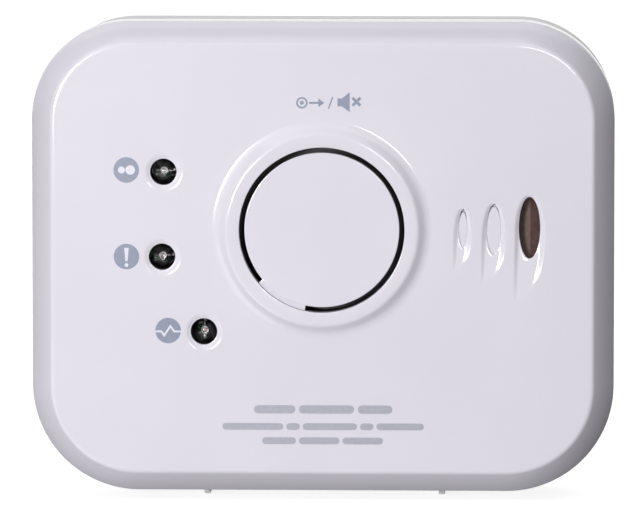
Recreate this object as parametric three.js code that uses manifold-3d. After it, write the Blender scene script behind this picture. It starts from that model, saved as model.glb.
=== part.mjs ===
// Carbon monoxide detector: a landscape case with a hinged test button in a raised ring,
// three indicator lights on the left and three vents on the right.
// Millimetres. +X is right, +Z is up and the front faces -Y. Z = 0 is the shelf it can stand on.

import * as THREE from 'three';
import { mergeVertices } from 'three/addons/utils/BufferGeometryUtils.js';
import Module from 'manifold-3d';

const wasm = await Module();
wasm.setup();

// Case
const caseWidth = 120;
const caseHeight = 97;
const topCornerRadius = 20;
const bottomCornerRadius = 22;
const runnerDrop = 2;
const middleZ = runnerDrop + caseHeight / 2;
const faceY = -17;
const rimY = -11.5;
const backY = 18;
const wall = 2;
const gap = 0.3;

// Shoulder between the flat face and the rim: an arc whose slope runs between these angles
const shoulderWidth = 4.6;
const shoulderStart = THREE.MathUtils.degToRad(28);
const shoulderEnd = THREE.MathUtils.degToRad(72);
const shoulderRadius = shoulderWidth / (Math.sin(shoulderEnd) - Math.sin(shoulderStart));
const shoulderSteps = 5;
const skirtLength = 4;
const skirtEndY = rimY + skirtLength;

// Test button and its ring
const buttonZ = middleZ + 6;
const buttonRadius = 15.9;
const buttonHole = 17;
const buttonThickness = 2;
const ringRise = 1;
const ringY = faceY - ringRise;
const ringShoulder = 19.4;
const ringFoot = 22.4;
const buttonY = ringY + 0.1;
const hingeAngle = THREE.MathUtils.degToRad(239);
const hingeSpread = THREE.MathUtils.degToRad(38);
const switchReach = 11.5;
const switchX = switchReach * Math.cos(hingeAngle);
const switchZ = buttonZ + switchReach * Math.sin(hingeAngle);

// Indicator lights: 5 mm parts behind holes with a shallow dish
const lights = [
  { name: 'alarm', x: -32.6, z: middleZ + 17.8, tilt: 0 },
  { name: 'fault', x: -32.9, z: middleZ + 0.3, tilt: 0 },
  { name: 'power', x: -24.3, z: middleZ - 15.1, tilt: Math.PI / 2 },
];
const lightHole = 2.72;
const lightDish = 4.0;
const lightDishDepth = 0.8;
const lightRadius = 2.5;
const lightTipY = faceY + 1.1;

// Vents: upright ellipses, each in a scoop that runs out at a lower left tip
const vents = [
  {
    x: 29.0, z: middleZ + 6.2, width: 1.8, height: 8.2, open: false,
    left: 26.9, right: 30.8, top: middleZ + 11.0, widest: middleZ + 4.4, tip: middleZ - 3.2,
  },
  {
    x: 35.3, z: middleZ + 6.0, width: 2.9, height: 10.4, open: false,
    left: 32.6, right: 37.8, top: middleZ + 12.0, widest: middleZ + 4.0, tip: middleZ - 5.9,
  },
  {
    x: 42.6, z: middleZ + 6.5, width: 4.3, height: 12.8, open: true,
    left: 39.3, right: 45.9, top: middleZ + 13.7, widest: middleZ + 5.2, tip: middleZ - 9.8,
  },
];
const scoopDepth = 0.8;
const ventPadDepth = 1.1;

// Circuit board, with its front face 9 mm behind the rim
const boardFrontY = rimY + 9;
const boardThickness = 1.6;
const boardBackY = boardFrontY + boardThickness;
const board = { left: -41, right: 33, bottom: 12, top: 89 };
const boardScrews = [[-36, 20], [28, 20], [28, 84]];

// Case screws, from the back into posts of the front cover
const caseScrews = [[-46, 14.5], [46, 14.5], [-46, 86.5], [46, 86.5]];
const screwSeatY = 0.3;
const screwHeadRadius = 2.8;
const screwShankRadius = 1.3;

// Sensor cell, upright behind the open vent
const sensorX = 43.3;
const sensorY = rimY + 5;
const sensorRadius = 6.8;
const sensorBottom = 34;
const sensorLength = 40;

// Battery cells, lying behind the board
const cellRadius = 7.1;
const cellLeft = -27;
const cellLength = 50;
const cellY = 7.9;
const cellHeights = [22, 37.5];

// Back of the case
const keyholeX = 30;
const keyholeZ = 74;
const keyholeHead = 4.8;
const keyholeSlot = 2.5;
const keyholeRise = 8;
const runnerX = 24.4;
const runnerWidth = 1.3;
const runnerStartY = rimY + 4.5;
const labelPlace = { x: 0, z: 55, width: 44, height: 18 };
const sliderZ = 80;
const sliderTravel = 4;
const sliderRestX = -sliderTravel / 2;

// Solids ------------------------------------------------------------------------------------

function signedVolume(position, index) {
  const a = new THREE.Vector3();
  const b = new THREE.Vector3();
  const c = new THREE.Vector3();
  let volume = 0;
  for (let i = 0; i < index.count; i += 3) {
    a.fromBufferAttribute(position, index.getX(i));
    b.fromBufferAttribute(position, index.getX(i + 1));
    c.fromBufferAttribute(position, index.getX(i + 2));
    volume += a.dot(b.cross(c)) / 6;
  }
  return volume;
}

// Turns a closed geometry into a solid, with its faces pointing out
function solid(geometry) {
  const bare = geometry.clone();
  bare.deleteAttribute('normal');
  bare.deleteAttribute('uv');
  const merged = mergeVertices(bare, 1e-4);
  const position = merged.attributes.position;
  const triangles = [];
  for (let i = 0; i < merged.index.count; i += 3) {
    const corners = [0, 1, 2].map((k) => merged.index.getX(i + k));
    if (new Set(corners).size === 3) {
      triangles.push(corners);
    }
  }
  if (signedVolume(position, merged.index) < 0) {
    triangles.forEach((corners) => corners.reverse());
  }
  return new wasm.Manifold(new wasm.Mesh({
    numProp: 3,
    vertProperties: new Float32Array(position.array),
    triVerts: new Uint32Array(triangles.flat()),
  }));
}

function geometryOf(shape) {
  const mesh = shape.getMesh();
  const geometry = new THREE.BufferGeometry();
  geometry.setAttribute('position', new THREE.BufferAttribute(mesh.vertProperties, 3));
  geometry.setIndex(new THREE.BufferAttribute(mesh.triVerts, 1));
  const faceted = geometry.toNonIndexed();
  faceted.computeVertexNormals();
  return faceted;
}

function join(first, ...others) {
  return others.reduce((whole, other) => whole.add(other), first);
}

function cut(first, ...others) {
  return others.reduce((whole, other) => whole.subtract(other), first);
}

// A box between two corners
function block(x0, x1, y0, y1, z0, z1) {
  const geometry = new THREE.BoxGeometry(x1 - x0, y1 - y0, z1 - z0);
  return solid(geometry.translate((x0 + x1) / 2, (y0 + y1) / 2, (z0 + z1) / 2));
}

// A turned shape about a line along Y through (x, z), from a profile of [radius, y] points
function turned(profile, x, z, steps = 24) {
  const points = profile.map(([radius, y]) => new THREE.Vector2(radius, y));
  return solid(new THREE.LatheGeometry(points, steps).translate(x, 0, z));
}

function rod(radius, y0, y1, x, z, steps = 24) {
  return turned([[0, y0], [radius, y0], [radius, y1], [0, y1]], x, z, steps);
}

// A tube along Y, open at both ends
function tube(outer, inner, y0, y1, x, z, steps = 24) {
  const profile = [[inner, y0], [outer, y0], [outer, y1], [inner, y1], [inner, y0]];
  return turned(profile, x, z, steps);
}

// A flat outline in X and Z, with thickness along Y
function slab(shape, y0, y1, curveSteps = 12) {
  const settings = { depth: y1 - y0, bevelEnabled: false, curveSegments: curveSteps };
  const geometry = new THREE.ExtrudeGeometry(shape, settings);
  return solid(geometry.rotateX(Math.PI / 2).translate(0, y1, 0));
}

// A skin through rings with equal numbers of points, closed by a flat cap at each end
function loft(rings) {
  const count = rings[0].length;
  const corners = rings.flat();
  const triangles = [];
  for (let ring = 0; ring + 1 < rings.length; ring += 1) {
    for (let i = 0; i < count; i += 1) {
      const next = (i + 1) % count;
      const near = ring * count;
      const far = near + count;
      triangles.push(near + i, near + next, far + next);
      triangles.push(near + i, far + next, far + i);
    }
  }
  const flat = rings[0].map((point) => new THREE.Vector2(point.x, point.z));
  const last = (rings.length - 1) * count;
  for (const [a, b, c] of THREE.ShapeUtils.triangulateShape(flat, [])) {
    triangles.push(a, c, b);
    triangles.push(last + a, last + b, last + c);
  }
  const geometry = new THREE.BufferGeometry().setFromPoints(corners);
  geometry.setIndex(triangles);
  return solid(geometry);
}

// The case outline, inset evenly, as a ring of points at one depth
function caseRing(inset, y) {
  const points = [];
  const cornerSteps = 8;
  const corners = [
    [1, 1, topCornerRadius],
    [-1, 1, topCornerRadius],
    [-1, -1, bottomCornerRadius],
    [1, -1, bottomCornerRadius],
  ];
  corners.forEach(([sideX, sideZ, radius], quarter) => {
    const centreX = sideX * (caseWidth / 2 - radius);
    const centreZ = middleZ + sideZ * (caseHeight / 2 - radius);
    for (let step = 0; step <= cornerSteps; step += 1) {
      const angle = (Math.PI / 2) * (quarter + step / cornerSteps);
      const x = centreX + (radius - inset) * Math.cos(angle);
      const z = centreZ + (radius - inset) * Math.sin(angle);
      points.push(new THREE.Vector3(x, y, z));
    }
  });
  return points;
}

function caseSlab(inset, y0, y1) {
  return loft([caseRing(inset, y0), caseRing(inset, y1)]);
}

function scoopRing(vent, depthAt) {
  const width = vent.right - vent.left;
  const drop = vent.widest - vent.tip;
  const outline = new THREE.Shape();
  outline.moveTo(vent.left, vent.tip);
  outline.bezierCurveTo(
    vent.left + 0.52 * width, vent.tip + 0.25 * drop,
    vent.right, vent.tip + 0.6 * drop,
    vent.right, vent.widest,
  );
  const middleX = (vent.left + vent.right) / 2;
  outline.absellipse(middleX, vent.widest, width / 2, vent.top - vent.widest, 0, Math.PI, false, 0);
  const points = outline.getPoints(10);
  const distinct = points.filter((point, i) => i === 0 || point.distanceTo(points[i - 1]) > 1e-3);
  return distinct.map((point) => new THREE.Vector3(point.x, depthAt(point.y), point.y));
}

// Front cover -------------------------------------------------------------------------------

function coverShell() {
  const outside = [];
  const inside = [caseRing(shoulderWidth + wall * Math.tan(shoulderStart / 2), faceY + wall)];
  for (let step = 0; step <= shoulderSteps; step += 1) {
    const slope = shoulderStart + ((shoulderEnd - shoulderStart) * step) / shoulderSteps;
    const out = shoulderRadius * (Math.sin(slope) - Math.sin(shoulderStart));
    const y = faceY + shoulderRadius * (Math.cos(shoulderStart) - Math.cos(slope));
    outside.push(caseRing(shoulderWidth - out, y));
    if (step > 0) {
      inside.push(caseRing(shoulderWidth - out + wall * Math.sin(slope), y + wall * Math.cos(slope)));
    }
  }
  outside.push(caseRing(0, skirtEndY));
  inside.push(caseRing(wall, skirtEndY + 1));
  return cut(loft(outside), loft(inside));
}

function buttonRing() {
  const footY = faceY + wall / 2;
  const profile = [
    [buttonHole, ringY],
    [ringShoulder - 0.3, ringY],
    [ringShoulder, ringY + 0.2],
    [ringShoulder + 0.7, ringY + 0.6],
    [ringShoulder + 1.7, faceY - 0.1],
    [ringFoot, faceY],
    [ringFoot, footY],
    [buttonHole, footY],
    [buttonHole, ringY],
  ];
  return turned(profile, 0, buttonZ, 40);
}

function lightOpening(light) {
  const profile = [
    [0, faceY - 3],
    [lightDish, faceY - 3],
    [lightDish, faceY],
    [lightHole, faceY + lightDishDepth],
    [lightHole, faceY + wall + 1],
    [0, faceY + wall + 1],
  ];
  return turned(profile, light.x, light.z);
}

function ventOpening(vent) {
  const slope = scoopDepth / (vent.top - vent.tip);
  const scoopFloor = (z) => faceY + slope * (z - vent.tip);
  const scoop = loft([scoopRing(vent, () => faceY - 1), scoopRing(vent, scoopFloor)]);
  const ellipse = new THREE.Shape();
  ellipse.absellipse(vent.x, vent.z, vent.width / 2, vent.height / 2, 0, 2 * Math.PI, false, 0);
  const holeEndY = vent.open ? faceY + wall + 4 : faceY + scoopDepth + 0.4;
  return join(scoop, slab(ellipse, faceY - 1, holeEndY));
}

function frontCover() {
  const innerY = faceY + wall;
  const ventPad = block(26, 47, innerY - 0.5, innerY + ventPadDepth, middleZ - 11, middleZ + 15);
  const casePosts = caseScrews.map(([x, z]) => rod(3.6, innerY - 1, screwSeatY - wall - gap, x, z));
  const boardPosts = boardScrews.map(([x, z]) => rod(3, innerY - 1, boardFrontY - gap, x, z));
  const body = join(coverShell(), buttonRing(), ventPad, ...casePosts, ...boardPosts);
  const pilots = [...caseScrews, ...boardScrews].map(([x, z]) => rod(1.6, -12, 0, x, z, 12));
  const hole = rod(buttonHole, ringY - 1, innerY + 1, 0, buttonZ, 40);
  return cut(body, hole, ...lights.map(lightOpening), ...vents.map(ventOpening), ...pilots);
}

// Rear housing ------------------------------------------------------------------------------

function housingTray() {
  const startY = skirtEndY + gap;
  const bevel = 1.2;
  const outside = loft([
    caseRing(gap, startY),
    caseRing(gap, backY - bevel),
    caseRing(gap + 0.35 * bevel, backY - 0.35 * bevel),
    caseRing(gap + bevel, backY),
  ]);
  const tray = cut(outside, caseSlab(gap + wall + 0.2, startY - 1, backY - wall));
  const lip = cut(caseSlab(wall + gap, startY - 2.5, startY + 3), caseSlab(wall + 1.6, startY - 3, startY + 4));
  return join(tray, lip);
}

function keyhole(side) {
  const x = side * keyholeX;
  const head = rod(keyholeHead, backY - wall - 1, backY + 1, x, keyholeZ);
  const end = rod(keyholeSlot, backY - wall - 1, backY + 1, x, keyholeZ + keyholeRise, 16);
  const neck = block(
    x - keyholeSlot, x + keyholeSlot, backY - wall - 1, backY + 1, keyholeZ, keyholeZ + keyholeRise,
  );
  return join(head, end, neck);
}

function cellCradle(x) {
  const rib = block(x - 1, x + 1, cellY + 2, backY - wall / 2, 14, 45.5);
  const rests = cellHeights.map((z) => lyingRod(cellRadius + gap, x - 2, x + 2, cellY, z));
  return cut(rib, ...rests);
}

function sensorCradle(z) {
  const rib = block(sensorX - 5.5, sensorX + 5.5, sensorY + 5, backY - wall / 2, z - 1, z + 1);
  return cut(rib, standingRod(sensorRadius + gap, z - 2, z + 2, sensorX, sensorY, 32));
}

function rearHousing() {
  const innerY = backY - wall;
  const tubes = caseScrews.map(([x, z]) => rod(4.2, screwSeatY - wall, innerY + 0.5, x, z));
  const runners = [-1, 1].map((side) => {
    const x = side * runnerX;
    return block(x - runnerWidth / 2, x + runnerWidth / 2, runnerStartY, backY - 0.5, 0, runnerDrop + 1);
  });
  const cradles = [cellCradle(-15), cellCradle(11), sensorCradle(45), sensorCradle(66)];
  const body = join(housingTray(), ...tubes, ...runners, ...cradles);
  const counterbores = caseScrews.map(([x, z]) => rod(3.2, screwSeatY, backY + 1, x, z));
  const shankHoles = caseScrews.map(([x, z]) => rod(1.8, screwSeatY - wall - 1, screwSeatY + 1, x, z, 12));
  const sliderSlot = block(-5.2, 5.2, innerY - 1, backY + 1, sliderZ - 2.5, sliderZ + 2.5);
  const { x, z, width, height } = labelPlace;
  const labelPocket = block(
    x - width / 2 - 0.5, x + width / 2 + 0.5, backY - 0.7, backY + 1,
    z - height / 2 - 0.5, z + height / 2 + 0.5,
  );
  return cut(body, ...counterbores, ...shankHoles, keyhole(-1), keyhole(1), sliderSlot, labelPocket);
}

function ratingLabel() {
  const { x, z, width, height } = labelPlace;
  return block(x - width / 2, x + width / 2, backY - 0.4, backY - 0.15, z - height / 2, z + height / 2);
}

// Rods that lie along X or stand along Z
function lyingRod(radius, x0, x1, y, z, steps = 24) {
  const geometry = new THREE.CylinderGeometry(radius, radius, x1 - x0, steps);
  return solid(geometry.rotateZ(Math.PI / 2).translate((x0 + x1) / 2, y, z));
}

function standingRod(radius, z0, z1, x, y, steps = 24) {
  const geometry = new THREE.CylinderGeometry(radius, radius, z1 - z0, steps);
  return solid(geometry.rotateX(Math.PI / 2).translate(x, y, (z0 + z1) / 2));
}

// Screw with a cross recess, its head's underside at the origin and its shank towards -Y
function screw(shankLength) {
  const headHeight = 2;
  const profile = [
    [0, -shankLength],
    [screwShankRadius * 0.5, -shankLength],
    [screwShankRadius, -shankLength + 1.2],
    [screwShankRadius, 0],
    [screwHeadRadius, 0],
    [screwHeadRadius, headHeight * 0.6],
    [screwHeadRadius * 0.7, headHeight],
    [0, headHeight],
  ];
  const recess = [block(-1.6, 1.6, 1, 3, -0.35, 0.35), block(-0.35, 0.35, 1, 3, -1.6, 1.6)];
  return cut(turned(profile, 0, 0, 12), ...recess);
}

// Test button and sounder -------------------------------------------------------------------

function testButton() {
  const backOfDisc = buttonY + buttonThickness;
  const disc = rod(buttonRadius, buttonY, backOfDisc, 0, buttonZ, 40);
  const from = hingeAngle - hingeSpread / 2;
  const to = hingeAngle + hingeSpread / 2;
  const tab = new THREE.Shape();
  tab.absarc(0, buttonZ, buttonHole - gap, from, to, false);
  tab.absarc(0, buttonZ, buttonRadius - 1, to, from, true);
  tab.closePath();
  const post = rod(1.5, backOfDisc - 0.5, -7.9, switchX, switchZ, 12);
  return join(disc, slab(tab, buttonY, backOfDisc, 8), post);
}

const hornFloorY = -8.3;
const hornFloorThickness = 1.3;
const piezoX = 3.5 * Math.cos(hingeAngle + Math.PI);
const piezoZ = buttonZ + 3.5 * Math.sin(hingeAngle + Math.PI);
const piezoRadius = 12;
const contactReach = 10;

function contactPlace(reach) {
  const angle = hingeAngle + Math.PI;
  return [piezoX + reach * Math.cos(angle), piezoZ + reach * Math.sin(angle)];
}

function sounderHorn() {
  const outer = buttonHole + 1.5;
  const inner = buttonHole + 0.2;
  const mouthY = faceY + wall + gap;
  const floorBackY = hornFloorY + hornFloorThickness;
  const profile = [
    [0, hornFloorY],
    [inner, hornFloorY],
    [inner, mouthY],
    [outer, mouthY],
    [outer, floorBackY],
    [0, floorBackY],
  ];
  const cup = turned(profile, 0, buttonZ, 32);
  const holes = [rod(2.6, hornFloorY - 1, floorBackY + 1, switchX, switchZ, 16)];
  for (const reach of [0, contactReach]) {
    const [x, z] = contactPlace(reach);
    holes.push(rod(1.2, hornFloorY - 1, floorBackY + 1, x, z, 12));
  }
  return cut(cup, ...holes);
}

function piezoContact(reach, frontY) {
  const [x, z] = contactPlace(reach);
  return rod(0.8, frontY, boardFrontY - gap, x, z, 12);
}

function soundPieces() {
  const sealFront = hornFloorY - gap - 1;
  const plateFront = sealFront - gap - 0.4;
  const seal = tube(piezoRadius, piezoRadius - 1.5, sealFront, sealFront + 1, piezoX, piezoZ, 24);
  const plate = rod(piezoRadius, plateFront, plateFront + 0.4, piezoX, piezoZ, 24);
  const ceramicFront = plateFront + 0.4 + gap;
  const ceramic = rod(8, ceramicFront, ceramicFront + gap, piezoX, piezoZ, 24);
  const retainer = tube(
    piezoRadius, piezoRadius - 2.5, plateFront - gap - 1.2, plateFront - gap, piezoX, piezoZ, 24,
  );
  return { seal, plate, ceramic, retainer, ceramicBack: ceramicFront + gap, plateBack: plateFront + 0.4 };
}

// Electronics -------------------------------------------------------------------------------

function circuitBoard() {
  const { left, right, bottom, top } = board;
  const sheet = block(left, right, boardFrontY, boardBackY, bottom, top);
  return cut(sheet, ...boardScrews.map(([x, z]) => rod(1.7, boardFrontY - 1, boardBackY + 1, x, z, 12)));
}

// Clear dome, flange and two pins, centred on the origin in X and Z
function light() {
  const baseY = lightTipY + 8.6;
  const profile = [];
  const domeSteps = 6;
  for (let step = 0; step <= domeSteps; step += 1) {
    const angle = (Math.PI / 2) * (step / domeSteps);
    const y = lightTipY + lightRadius * (1 - Math.cos(angle));
    profile.push([lightRadius * Math.sin(angle), y]);
  }
  profile.push([lightRadius, baseY - 1], [lightRadius + 0.4, baseY - 1], [lightRadius + 0.4, baseY], [0, baseY]);
  const pins = [-1.27, 1.27].map((x) => block(x - 0.25, x + 0.25, baseY - 0.2, boardFrontY - gap, -0.25, 0.25));
  return join(turned(profile, 0, 0, 16), ...pins);
}

function lightHolder({ x, z }) {
  const flangeY = lightTipY + 8.6 - 1;
  const profile = [
    [lightRadius + gap, faceY + wall + gap],
    [4.2, faceY + wall + gap],
    [4.2, boardFrontY - gap],
    [3.3, boardFrontY - gap],
    [3.3, flangeY - gap],
    [lightRadius + gap, flangeY - gap],
    [lightRadius + gap, faceY + wall + gap],
  ];
  return turned(profile, x, z, 16);
}

function boardPart(width, height, depth, x, z) {
  const backOfPart = boardFrontY - gap;
  return block(x - width / 2, x + width / 2, backOfPart - depth, backOfPart, z - height / 2, z + height / 2);
}

function sensorCell() {
  return standingRod(sensorRadius, sensorBottom, sensorBottom + sensorLength, sensorX, sensorY, 32);
}

function sensorCap() {
  const from = sensorBottom + sensorLength + gap;
  return standingRod(sensorRadius - 0.3, from, from + 5.5, sensorX, sensorY, 24);
}

function sensorLead(z) {
  return block(30, 37, boardFrontY - gap - 0.5, boardFrontY - gap, z - 1, z + 1);
}

// Power -------------------------------------------------------------------------------------

function batteryCell(z, positiveEnd) {
  const nub = 1;
  const right = cellLeft + cellLength;
  const body = positiveEnd > 0
    ? lyingRod(cellRadius, cellLeft, right - nub, cellY, z)
    : lyingRod(cellRadius, cellLeft + nub, right, cellY, z);
  const button = positiveEnd > 0
    ? lyingRod(2.7, right - nub - 0.5, right, cellY, z, 16)
    : lyingRod(2.7, cellLeft, cellLeft + nub + 0.5, cellY, z, 16);
  return join(body, button);
}

function batteryTab(z) {
  const x = cellLeft + cellLength + gap;
  const plate = block(x, x + gap, cellY - 4, cellY + 2.5, z - 3, z + 3);
  const leg = block(x, x + gap, boardBackY + gap, cellY, z - 1, z + 1);
  return join(plate, leg);
}

function batteryLink() {
  const x = cellLeft - gap;
  return block(x - gap, x, cellY - 2.5, cellY + 2.5, cellHeights[0] - 2.5, cellHeights[1] + 2.5);
}

function activationSwitch() {
  return block(-4.5, 4.5, boardBackY + gap, boardBackY + gap + 5, sliderZ - 2.2, sliderZ + 2.2);
}

function activationSlider() {
  const flangeBack = backY - wall - gap;
  const x = sliderRestX;
  const stem = block(x - 1.5, x + 1.5, boardBackY + 2 * gap + 5, flangeBack - 1, sliderZ - 1.5, sliderZ + 1.5);
  const flange = block(x - 7.5, x + 7.5, flangeBack - 1.6, flangeBack, sliderZ - 4, sliderZ + 4);
  const knob = block(x - 2.8, x + 2.8, flangeBack - 1, backY - 0.3, sliderZ - 2.1, sliderZ + 2.1);
  const grooves = [-1.6, 0, 1.6].map((offset) => {
    const middle = x + offset;
    return block(middle - 0.3, middle + 0.3, backY - 0.8, backY, sliderZ - 3, sliderZ + 3);
  });
  return cut(join(stem, flange, knob), ...grooves);
}

// Assembly ----------------------------------------------------------------------------------

const finishes = {
  glossWhite: { color: 0xe9e7ef, roughness: 0.28, metalness: 0 },
  mattWhite: { color: 0xe4e3e6, roughness: 0.5, metalness: 0 },
  black: { color: 0x151417, roughness: 0.55, metalness: 0 },
  board: { color: 0x1c5a3a, roughness: 0.45, metalness: 0 },
  brass: { color: 0xb99a4f, roughness: 0.3, metalness: 1 },
  ceramic: { color: 0xd9d5c8, roughness: 0.6, metalness: 0 },
  rubber: { color: 0x2b2a2d, roughness: 0.95, metalness: 0 },
  clear: { color: 0xcfd2d6, roughness: 0.08, metalness: 0 },
  steel: { color: 0x9b9ca0, roughness: 0.35, metalness: 1 },
  nickel: { color: 0xb4b2ac, roughness: 0.3, metalness: 1 },
  bronze: { color: 0x6d4c38, roughness: 0.45, metalness: 0.3 },
  sleeve: { color: 0x3f5f8a, roughness: 0.4, metalness: 0 },
  label: { color: 0xd7d8da, roughness: 0.5, metalness: 0 },
};

function part(name, shape, finish) {
  const mesh = new THREE.Mesh(geometryOf(shape), new THREE.MeshStandardMaterial(finishes[finish]));
  mesh.name = name;
  return mesh;
}

function group(...members) {
  const whole = new THREE.Group();
  whole.add(...members);
  return whole;
}

function screwSet(name, places, headY, shankLength) {
  const shape = screw(shankLength);
  return group(...places.map(([x, z], i) => {
    const mesh = part(`${name}_${i + 1}`, shape, 'steel');
    mesh.position.set(x, headY, z);
    return mesh;
  }));
}

function lightSet() {
  const shape = light();
  return group(...lights.flatMap((place) => {
    const lamp = part(`led_${place.name}`, shape, 'clear');
    lamp.position.set(place.x, 0, place.z);
    lamp.rotation.y = place.tilt;
    return [lamp, part(`led_holder_${place.name}`, lightHolder(place), 'black')];
  }));
}

function sounder() {
  const pieces = soundPieces();
  return group(
    part('sounder_horn', sounderHorn(), 'black'),
    part('sounder_seal', pieces.seal, 'rubber'),
    part('piezo_plate', pieces.plate, 'brass'),
    part('piezo_ceramic', pieces.ceramic, 'ceramic'),
    part('piezo_retainer', pieces.retainer, 'black'),
    part('piezo_contact_inner', piezoContact(0, pieces.ceramicBack + gap), 'brass'),
    part('piezo_contact_outer', piezoContact(contactReach, hornFloorY + gap), 'brass'),
  );
}

function electronics() {
  const plungerFront = -7.6;
  return group(
    part('circuit_board', circuitBoard(), 'board'),
    part('test_switch_body', boardPart(6, 6, 3.5, switchX, switchZ), 'black'),
    part('test_switch_plunger', rod(1.75, plungerFront, plungerFront + 1, switchX, switchZ, 16), 'brass'),
    part('microcontroller', boardPart(10, 10, 1.4, -14, 82), 'black'),
    part('storage_capacitor', rod(4, boardFrontY - gap - 9, boardFrontY - gap, 14, 29), 'sleeve'),
    part('boost_inductor', rod(4.5, boardFrontY - gap - 7, boardFrontY - gap, -4, 27), 'black'),
    part('sensor_cell', sensorCell(), 'bronze'),
    part('sensor_cap', sensorCap(), 'black'),
    part('sensor_lead_upper', sensorLead(68), 'nickel'),
    part('sensor_lead_lower', sensorLead(40), 'nickel'),
    lightSet(),
  );
}

function power() {
  return group(
    part('battery_cell_lower', batteryCell(cellHeights[0], 1), 'sleeve'),
    part('battery_cell_upper', batteryCell(cellHeights[1], -1), 'sleeve'),
    part('battery_link', batteryLink(), 'nickel'),
    part('battery_tab_positive', batteryTab(cellHeights[0]), 'nickel'),
    part('battery_tab_negative', batteryTab(cellHeights[1]), 'nickel'),
    part('activation_switch', activationSwitch(), 'black'),
    part('activation_slider', activationSlider(), 'black'),
  );
}

const detector = group(
  part('front_cover', frontCover(), 'glossWhite'),
  part('rear_housing', rearHousing(), 'mattWhite'),
  part('test_button', testButton(), 'glossWhite'),
  part('rating_label', ratingLabel(), 'label'),
  screwSet('housing_screw', caseScrews, screwSeatY + gap, 10),
  screwSet('board_screw', boardScrews, boardBackY + gap, 8),
  sounder(),
  electronics(),
  power(),
);
detector.name = 'carbon_monoxide_detector';

export default detector;
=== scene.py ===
import math

import bmesh
import bpy
from mathutils import Matrix, Vector


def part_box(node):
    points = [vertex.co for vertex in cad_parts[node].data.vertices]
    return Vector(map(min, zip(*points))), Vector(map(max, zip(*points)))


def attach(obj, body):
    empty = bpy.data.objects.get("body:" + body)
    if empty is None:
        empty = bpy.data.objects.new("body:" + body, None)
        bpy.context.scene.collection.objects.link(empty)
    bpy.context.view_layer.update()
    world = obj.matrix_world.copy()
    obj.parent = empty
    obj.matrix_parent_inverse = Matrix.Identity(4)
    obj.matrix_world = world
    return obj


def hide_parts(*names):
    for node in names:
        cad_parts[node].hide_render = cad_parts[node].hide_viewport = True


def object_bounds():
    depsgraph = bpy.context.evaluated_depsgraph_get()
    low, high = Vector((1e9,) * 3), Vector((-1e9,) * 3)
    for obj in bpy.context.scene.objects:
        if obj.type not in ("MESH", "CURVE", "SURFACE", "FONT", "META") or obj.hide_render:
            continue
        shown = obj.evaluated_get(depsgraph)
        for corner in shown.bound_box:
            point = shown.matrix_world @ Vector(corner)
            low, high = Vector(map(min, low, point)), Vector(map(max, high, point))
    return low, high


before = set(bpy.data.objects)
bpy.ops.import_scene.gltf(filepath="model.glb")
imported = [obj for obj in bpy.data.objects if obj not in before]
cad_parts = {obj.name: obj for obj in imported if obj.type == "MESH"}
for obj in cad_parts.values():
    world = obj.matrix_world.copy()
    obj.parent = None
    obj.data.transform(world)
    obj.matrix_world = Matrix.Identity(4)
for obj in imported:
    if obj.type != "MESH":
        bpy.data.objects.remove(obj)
cadLow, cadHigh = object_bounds()
scene = bpy.context.scene
mm = 0.001


def middle(node):
    low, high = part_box(node)
    return (low + high) / 2


# Pieces are modelled lying on their backs, face up, and then stood up.
# Lying down, a piece's height is how far it is towards the front, and its y is its final z.

case = {
    "width": (cadHigh.x - cadLow.x) / mm,
    "rimBottom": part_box("front_cover")[0].z / mm,
    "rimTop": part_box("front_cover")[1].z / mm,
    "topCorner": 20.0,
    "bottomCorner": 22.0,
    "faceHeight": 17.0,  # the flat face
    "rimHeight": 11.5,  # where the shoulder meets the skirt
    "skirtHeight": -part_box("front_cover")[1].y / mm,  # the open back edge of the cover
    "backHeight": -cadHigh.y / mm,
    "shoulder": 4.85,  # how far the face sits inside the rim
    "wall": 2.0,
    "gap": 0.3,
}
case["middle"] = (case["rimBottom"] + case["rimTop"]) / 2

camera = {
    "azimuth": 2.11,
    "elevation": 5.05,
    "distance": 1400.0,
    "lens": 382.0,
    "aimRight": -0.59,
    "aimUp": -0.92,
}

lights = {
    "world": 0.0,  # strength of the surroundings
    "floorGlow": 0.8,
    "wallGlow": 1.0,
    "soft": {
        "keyLight": {"azimuth": -16, "elevation": 4, "distance": 655, "size": 110, "power": 1.75},
        "secondLight": {"azimuth": 6, "elevation": 6, "distance": 1200, "size": 160, "power": 1.25},
        "leftPanel": {"azimuth": -23, "elevation": 12, "distance": 620, "size": 320, "power": 0.4},
        "topLight": {"azimuth": -8, "elevation": 62, "distance": 615, "size": 760, "power": 1.65},
        "lowBounce": {"azimuth": -10, "elevation": -50, "distance": 620, "size": 700, "power": 0.55},
        "lowLeftBounce": {"azimuth": -42, "elevation": -28, "distance": 620, "size": 500, "power": 0.85},
        "rightFill": {"azimuth": 32, "elevation": 40, "distance": 620, "size": 330, "power": 0.1},
    },
}


def direction(azimuth, elevation):  # from the case, in degrees to the right of its front and up
    azimuth, elevation = math.radians(azimuth), math.radians(elevation)
    return Vector((
        math.sin(azimuth) * math.cos(elevation),
        -math.cos(azimuth) * math.cos(elevation),
        math.sin(elevation),
    ))


def makeCamera():
    back = direction(camera["azimuth"], camera["elevation"])
    right = direction(camera["azimuth"] + 90, 0)
    up = back.cross(right)
    aim = Vector((0, -case["rimHeight"] * mm, case["middle"] * mm))
    aim += right * camera["aimRight"] * mm + up * camera["aimUp"] * mm
    data = bpy.data.cameras.new("viewCamera")
    data.lens = camera["lens"]
    data.sensor_width = 36
    data.clip_start = 0.01
    data.clip_end = 20
    eye = bpy.data.objects.new("viewCamera", data)
    eye.location = aim + back * camera["distance"] * mm
    eye.rotation_euler = (-back).to_track_quat("-Z", "Y").to_euler()
    scene.collection.objects.link(eye)
    scene.camera = eye


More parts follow.
